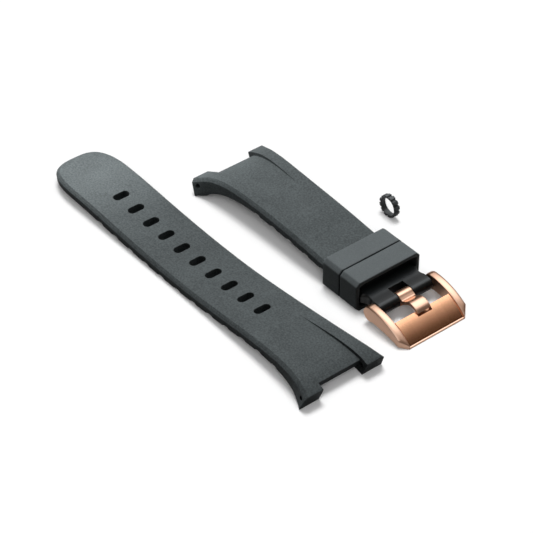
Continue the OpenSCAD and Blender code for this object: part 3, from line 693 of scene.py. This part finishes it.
def buildRing():
    # a section carried round the axis, with an outer radius that drops to the root between the teeth
    k = ring
    steps = k["teeth"] * 24
    angle = np.arange(steps) / steps * 2 * np.pi
    fromGap = (angle + 0.5 * np.pi + np.pi / k["teeth"]) % (2 * np.pi / k["teeth"]) - np.pi / k["teeth"]
    off = np.abs(fromGap) * k["radius"]
    tooth = smooth((off - k["gap"] / 2 + 0.06) / 0.2)
    outer = k["root"] + (k["radius"] - k["root"]) * tooth
    half, r, c = k["width"] / 2, k["round"], k["chamfer"]
    # the section: places along the axis, and radii
    section = [(-half + r - r * math.cos(q), outer - r * (1 - math.sin(q))) for q in np.radians([0, 30, 60, 90])]
    section += [(0.0, outer)] + [(-y, radius) for y, radius in section[::-1]]
    section += [(y, k["bore"] + (c if abs(y) == half else 0)) for y in (half, half - c, 0, c - half, -half)]
    loops = []
    for y, radius in section:
        loops.append(beside(k["x"] + radius * np.cos(angle), k["y"] + y, k["z"] + radius * np.sin(angle)))
    return weld("toothed_ring", [[sheet(np.stack(loops), True, True)]], k["sharp"])


def fill(tree, made, values):
    # in1 is a node's input 1, other names are inputs or settings; a value that is an output socket is linked
    for key, value in values.items():
        where = int(key[2:]) if key[2:].isdigit() else key
        if isinstance(value, bpy.types.NodeSocket):
            tree.links.new(value, made.inputs[where])
        elif isinstance(where, int) or where in made.inputs:
            made.inputs[where].default_value = value
        else:
            setattr(made, where, value)
    return made


def node(tree, kind, **values):
    return fill(tree, tree.nodes.new("ShaderNode" + kind), values)


def newGroup(name, inputs, outputs):
    # an empty shader group with its input and output nodes; inputs are (name, value) of numbers or vectors
    group = bpy.data.node_groups.new(name, "ShaderNodeTree")
    for label, value in inputs:
        kind = "NodeSocketFloat" if isinstance(value, float) else "NodeSocketVector"
        group.interface.new_socket(label, in_out="INPUT", socket_type=kind).default_value = value
    for label in outputs:
        group.interface.new_socket(label, in_out="OUTPUT", socket_type="NodeSocketFloat")
    return group, group.nodes.new("NodeGroupInput").outputs, group.nodes.new("NodeGroupOutput")


def noise(tree, place, scale, detail, roughness):
    made = node(tree, "TexNoise", Vector=place, Scale=scale, Detail=detail, Roughness=roughness)
    return made.outputs["Fac"]


def calculate(tree, operation, *values, clamp=False):
    values = {f"in{index}": value for index, value in enumerate(values)}
    return node(tree, "Math", operation=operation, use_clamp=clamp, **values).outputs[0]


def grainGroup():
    # the skin of moulded rubber: Height is a fine grain, Cloud is broad clouds, and Tone is three quarters of the first
    # and one of the second
    group, given, wanted = newGroup("mouldedGrain", [("Fine", 2000.0), ("Clouds", 120.0)], ["Height", "Tone", "Cloud"])
    place = node(group, "TexCoord").outputs["Object"]
    fine, cloud = noise(group, place, given["Fine"], 2.0, 0.65), noise(group, place, given["Clouds"], 3.0, 0.5)
    tone = calculate(group, "MULTIPLY_ADD", fine, 0.75, calculate(group, "MULTIPLY", cloud, 0.25))
    fill(group, wanted, {"Height": fine, "Tone": tone, "Cloud": cloud})
    return group


def brushGroup():
    # lines drawn out along the brushing: Stretch is how many of them fit in a metre along each axis
    group, given, wanted = newGroup("brushedLines", [("Stretch", (200.0, 9000.0, 200.0))], ["Lines", "Broad"])
    place = node(group, "TexCoord").outputs["Object"]
    drawn = node(group, "Mapping", Vector=place, Scale=given["Stretch"]).outputs["Vector"]
    fill(group, wanted, {"Lines": noise(group, drawn, 1.0, 3.0, 0.6), "Broad": noise(group, drawn, 0.18, 2.0, 0.5)})
    return group


def aheadGroup():
    # Ahead is 0 behind From, a place along X, and 1 from 1 mm ahead of it
    group, given, wanted = newGroup("aheadOf", [("From", 0.0)], ["Ahead"])
    place = node(group, "TexCoord").outputs["Object"]
    along = node(group, "SeparateXYZ", in0=place).outputs["X"]
    past = calculate(group, "SUBTRACT", along, given["From"])
    fill(group, wanted, {"Ahead": calculate(group, "MULTIPLY", past, 1 / metre, clamp=True)})
    return group


grainTree, brushTree, aheadTree = grainGroup(), brushGroup(), aheadGroup()


def startMaterial(name, group, values):
    # a material with one copy of a shared group in it
    material = bpy.data.materials.new(name)
    material.use_nodes = True
    tree = material.node_tree
    effect = fill(tree, node(tree, "Group", node_tree=group), values)
    return material, tree, tree.nodes["Principled BSDF"], effect.outputs


def tint(tree, source, low, high, colour, spread):
    # a colour that goes from darker to lighter by the share spread as the source goes from low to high
    made = node(tree, "ValToRGB", Fac=source)
    shades = np.array(colour) * (1 - spread), np.array(colour) * (1 + spread)
    for element, spot, shade in zip(made.color_ramp.elements, (low, high), shades):
        element.position, element.color = spot, (*shade, 1)
    return made.outputs["Color"]


def level(tree, source, middle, spread):
    # a number that goes from middle - spread to middle + spread as the source goes from 0.3 to 0.7
    ends = {"From Min": 0.3, "From Max": 0.7, "To Min": middle - spread, "To Max": middle + spread}
    return node(tree, "MapRange", Value=source, **ends).outputs["Result"]


def bump(tree, source, look):
    return node(tree, "Bump", Strength=look["bump"], Distance=look["height"], Height=source).outputs["Normal"]


def rubber(name, look):
    material, tree, shader, grain = startMaterial(name, grainTree, {"Fine": look["fine"], "Clouds": look["clouds"]})
    base = tint(tree, grain["Tone"], 0.35, 0.65, look["colour"], look["mottle"])
    rough = level(tree, grain["Cloud"], look["rough"], 0.03)
    if "glossAndShadeFrom" in look:
        # ahead of the keepers the moulded rubber is glossier, and its colour there is darker as painted shade, standing
        # in for the keepers' shadow
        glossAndPaintedShade = node(tree, "Group", node_tree=aheadTree, From=look["glossAndShadeFrom"]).outputs["Ahead"]
        shadePaintedBase = (*look["shadePaintedColour"], 1)
        base = node(tree, "Mix", data_type="RGBA", in0=glossAndPaintedShade, in6=base, in7=shadePaintedBase).outputs[2]
        rough = node(tree, "Mix", data_type="FLOAT", in0=glossAndPaintedShade, in2=rough, in3=look["sleekRough"]).outputs[0]
        fill(tree, shader, {"Coat Weight": glossAndPaintedShade, "Coat Roughness": look["coatRough"], "Coat IOR": 1.4})
    fill(tree, shader, {"Base Color": base, "Roughness": rough, "Normal": bump(tree, grain["Height"], look),
                        "Specular IOR Level": look["specular"]})
    return material


def metal(name, look):
    material, tree, shader, brush = startMaterial(name, brushTree, {"Stretch": look["stretch"]})
    fill(tree, shader, {"Base Color": tint(tree, brush["Broad"], 0.3, 0.7, look["colour"], look["streak"]),
                        "Roughness": level(tree, brush["Lines"], look["rough"], look["vary"]),
                        "Normal": bump(tree, brush["Lines"], look), "Metallic": 1.0})
    return material


strapLook = {"colour": (0.0675, 0.077, 0.079), "mottle": 0.28, "rough": 0.6, "specular": 0.1, "fine": 1900.0,
             "clouds": 130.0, "bump": 0.5, "height": 7e-5}
# painted light: the short half is the tail's rubber, made about a tenth lighter to make up for the light it loses as
# its faces tilt away from the low lamp
shortLook = {**strapLook, "colour": (0.0745, 0.085, 0.0872), "glossAndShadeFrom": 0.0365, "shadePaintedColour": (0.011, 0.013, 0.0138),
             # the darker colour of the polished end is painted shade of the keepers; its lower roughness and coat are
             # the finish
             "sleekRough": 0.45, "coatRough": 0.25}
strapRubber, shortRubber = rubber("strapRubber", strapLook), rubber("shortRubber", shortLook)
keeperRubber = rubber("keeperRubber", {"colour": (0.101, 0.1135, 0.117), "mottle": 0.12, "rough": 0.56,
                                       "specular": 0.12, "fine": 3200.0, "clouds": 160.0, "bump": 0.3, "height": 4e-5})
ringRubber = rubber("ringRubber", {"colour": (0.085, 0.092, 0.095), "mottle": 0.1, "rough": 0.42, "specular": 0.5,
                                   "fine": 4000.0, "clouds": 300.0, "bump": 0.2, "height": 3e-5})
satinLook = {"colour": (0.84, 0.53, 0.38), "streak": 0.03, "rough": 0.33, "vary": 0.025,
             "stretch": (220.0, 9000.0, 220.0), "bump": 0.05, "height": 5e-6}
plateMetal = metal("brushedRose", {"colour": (0.79, 0.41, 0.24), "streak": 0.04, "rough": 0.25, "vary": 0.012,
                                   "stretch": (150.0, 8000.0, 150.0), "bump": 0.005, "height": 8e-6})
satinMetal = metal("satinRose", satinLook)
tongueMetal = metal("tongueRose", {**satinLook, "streak": 0.02, "rough": 0.34, "stretch": (260.0, 2500.0, 260.0),
                                   "bump": 0.02, "height": 2e-6})
barSteel = metal("barSteel", {"colour": (0.55, 0.55, 0.55), "streak": 0.05, "rough": 0.3, "vary": 0.025,
                              "stretch": (6000.0, 300.0, 6000.0), "bump": 0.2, "height": 1e-5})
print("materials made")

tailPiece, tailCurve = buildTail()
shortPiece, shortCurve = buildShort()
for piece, curve in ((tailPiece, tailCurve), (shortPiece, shortCurve)):
    boreX, _, boreZ = curve.place(strap["boreIn"], 0.0, strap["boreDown"])
    cutRound(piece, float(boreX), float(boreZ), curve.y, strap["boreRadius"])
cutRound(shortPiece, buckle["x"], buckle["z"], shortCurve.y, short["eyeBore"])
dress(tailPiece, "straps", "tail_strap", strapRubber)
dress(shortPiece, "straps", "buckle_strap", shortRubber)
print("straps made")

dress(buildKeeper("front_keeper_loop", keeper["fixedX"]), "straps", "fixed_keeper", keeperRubber)
dress(buildKeeper("rear_keeper_loop", keeper["slidingX"]), "sliding_keeper", "sliding_keeper",
      keeperRubber)
framePiece = dress(buildFrame(), "frame", "buckle_frame", satinMetal)
framePiece.data.materials.append(plateMetal)
polygons = framePiece.data.polygons
centres, normals = np.empty((2, len(polygons) * 3))
polygons.foreach_get("center", centres)
polygons.foreach_get("normal", normals)
centres, normals = centres.reshape(-1, 3) / metre, normals.reshape(-1, 3)
# brushed: the plate's top face, that is what lies between the cheeks, faces up and is no front lip
brushed = (np.abs(centres[:, 1] - strap["buckleY"]) < buckle["width"] / 2 - buckle["cheek"]) & (normals[:, 2] > 0.3)
brushed &= centres[:, 0] < buckle["x"] + buckle["length"] - buckle["lip"]
polygons.foreach_set("material_index", brushed.astype(np.int32))
dress(buildTongue(), "tongue", "buckle_tongue", tongueMetal)
dress(buildRing(), "straps", "crown_ring", ringRubber)
for name in ("bar_barrel", "bar_spring", "bar_pin_left", "bar_pin_right"):
    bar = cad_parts[name]
    bar.data.materials.clear()
    bar.data.materials.append(barSteel)
print("pieces made")

stage = {
    "floorSize": 3.0, "white": 0.93, "mirrored": 0.42, "bounce": 0.05, "world": 0.05,  # shares of plain white
    "bright": ((-0.18, 0.48, 0.86), (0.25, -0.35, 0.9)),  # ways to the two bright panels that the metal mirrors
    "shades": ((0.5, (0.03, 0.018, 0.009)), (0.75, (0.11, 0.08, 0.06)), (0.86, (0.5, 0.47, 0.45)),
               (0.935, (0.85, 0.86, 0.87)), (1.0, (1.1, 1.25, 1.35))),  # colour by the cosine to the nearer panel
    # suns: way, spread in degrees, level, whether they light the pieces or else the floor, and whether they mirror
    "suns": {"keySun": ((-0.46, 0.12, 0.88), 22, 0.55, True, False),
             "nearSun": ((0.6, -0.48, 0.64), 30, 0.18, False, True),
             "shadowSun": ((-0.2, 0.16, 0.97), 24, 0.6, False, True),
             "domeSun": ((0.0, 0.0, 1.0), 120, 0.32, False, True)},
    # boxes, for the pieces alone: what they face, way, distance, width, height, radiance, whether they mirror
    "boxes": {"fillBox": ((0, 0, 0), (-0.1, 0.5, 0.85), 1.1, 0.8, 0.8, 1.2, True),
              "sideBox": ((0, 0, 0), (0.05, 0.9, 0.30), 0.7, 0.9, 0.25, 1.3, False),
              "lowBox": ((0, 0, 0), (-0.85, 0.14, 0.50), 0.7, 0.5, 0.4, 8.0, False),
              "tipBox": ((-0.05, -0.0215, 0), (0.0, 0.0, 1.0), 0.028, 0.02, 0.03, 6.0, False)},
}
floorMesh = bpy.data.meshes.new("floor")
size = stage["floorSize"]
floorMesh.from_pydata([(-size, -size, 0), (size, -size, 0), (size, size, 0), (-size, size, 0)], [], [(0, 1, 2, 3)])
floor = newObject("floor", floorMesh)


def byRay(tree, ray, others, chosen):
    # one shader for a kind of ray, and another for the others
    share = node(tree, "LightPath").outputs[ray]
    return node(tree, "MixShader", in0=share, in1=others, in2=chosen).outputs[0]


# the camera sees a white floor that takes shadows; mirrored in a piece it is grey, and it throws little light back
floorMaterial = bpy.data.materials.new("paleFloor")
floorMaterial.use_nodes = True
tree = floorMaterial.node_tree
tree.nodes.clear()
white, mirroredGrey, dark = [node(tree, "BsdfDiffuse", Color=(stage[key],) * 3 + (1,)).outputs[0]
                             for key in ("white", "mirrored", "bounce")]
unseen = byRay(tree, "Is Glossy Ray", dark, mirroredGrey)
node(tree, "OutputMaterial", Surface=byRay(tree, "Is Camera Ray", unseen, white))
floorMesh.materials.append(floorMaterial)

# the camera sees a white world; mirrored in a piece it is bright towards its two panels and darker away from them
world = bpy.data.worlds.new("studio")
bpy.context.scene.world = world
world.use_nodes = True
tree = world.node_tree
tree.nodes.clear()
toward = node(tree, "TexCoord").outputs["Generated"]
cosines = [node(tree, "VectorMath", operation="DOT_PRODUCT", in0=toward, in1=Vector(way).normalized())
           for way in stage["bright"]]
nearer = calculate(tree, "MAXIMUM", *[cosine.outputs["Value"] for cosine in cosines])
shade = node(tree, "ValToRGB", Fac=nearer)
spots = shade.color_ramp.elements
spots.remove(spots[1])
for index, (spot, colour) in enumerate(stage["shades"]):
    element = spots[0] if index == 0 else spots.new(spot)
    element.position, element.color = spot, (*colour, 1)
graded = node(tree, "Background", Strength=1.0, Color=shade.outputs["Color"]).outputs[0]
soft, plain = [node(tree, "Background", Color=(1, 1, 1, 1), Strength=power).outputs[0]
               for power in (stage["world"], 1.0)]
unseen = byRay(tree, "Is Glossy Ray", soft, graded)
node(tree, "OutputWorld", Surface=byRay(tree, "Is Camera Ray", unseen, plain))


def lamp(name, kind, way, values):
    # a light that shines against its way
    light = bpy.data.lights.new(name, kind)
    for key, value in values.items():
        setattr(light, key, value)
    made = newObject(name, light)
    made.rotation_euler = way.to_track_quat("Z", "Y").to_euler()
    return made


offFloor, onFloor = bpy.data.collections.new("offFloor"), bpy.data.collections.new("onFloor")
for group in (offFloor, onFloor):
    group.objects.link(floor)
offFloor.collection_objects[0].light_linking.link_state = "EXCLUDE"
for name, (way, wide, share, onPieces, mirrors) in stage["suns"].items():
    # on a flat top a sun gives its share of plain white
    way = Vector(way).normalized()
    made = lamp(name, "SUN", way, {"angle": math.radians(wide), "energy": math.pi * share / way.z})
    made.light_linking.receiver_collection = offFloor if onPieces else onFloor
    made.visible_glossy = mirrors
for name, (middle, way, distance, width, height, radiance, mirrors) in stage["boxes"].items():
    # a box's power is pi times its area times its radiance
    way = Vector(way).normalized()
    made = lamp(name, "AREA", way, {"shape": "RECTANGLE", "size": width, "size_y": height,
                                    "energy": math.pi * width * height * radiance})
    made.location = Vector(middle) + way * distance
    made.light_linking.receiver_collection = offFloor
    made.visible_camera, made.visible_glossy = False, mirrors

view = {"azimuth": 51.1, "elevation": 39.72, "distance": 0.60009, "lens": 148.93, "target": (0.009, -0.0062, 0.0)}
azimuth, elevation = math.radians(view["azimuth"]), math.radians(view["elevation"])
back = Vector((math.sin(azimuth) * math.cos(elevation), -math.cos(azimuth) * math.cos(elevation), math.sin(elevation)))
cameraData = bpy.data.cameras.new("camera")
cameraData.lens, cameraData.sensor_width = view["lens"], 36.0
cameraData.clip_start = 0.01
camera = newObject("camera", cameraData)
camera.location = Vector(view["target"]) + back * view["distance"]
camera.rotation_euler = back.to_track_quat("Z", "Y").to_euler()
bpy.context.scene.camera = camera
bpy.context.scene.view_settings.view_transform = "Standard"
print("stage set")
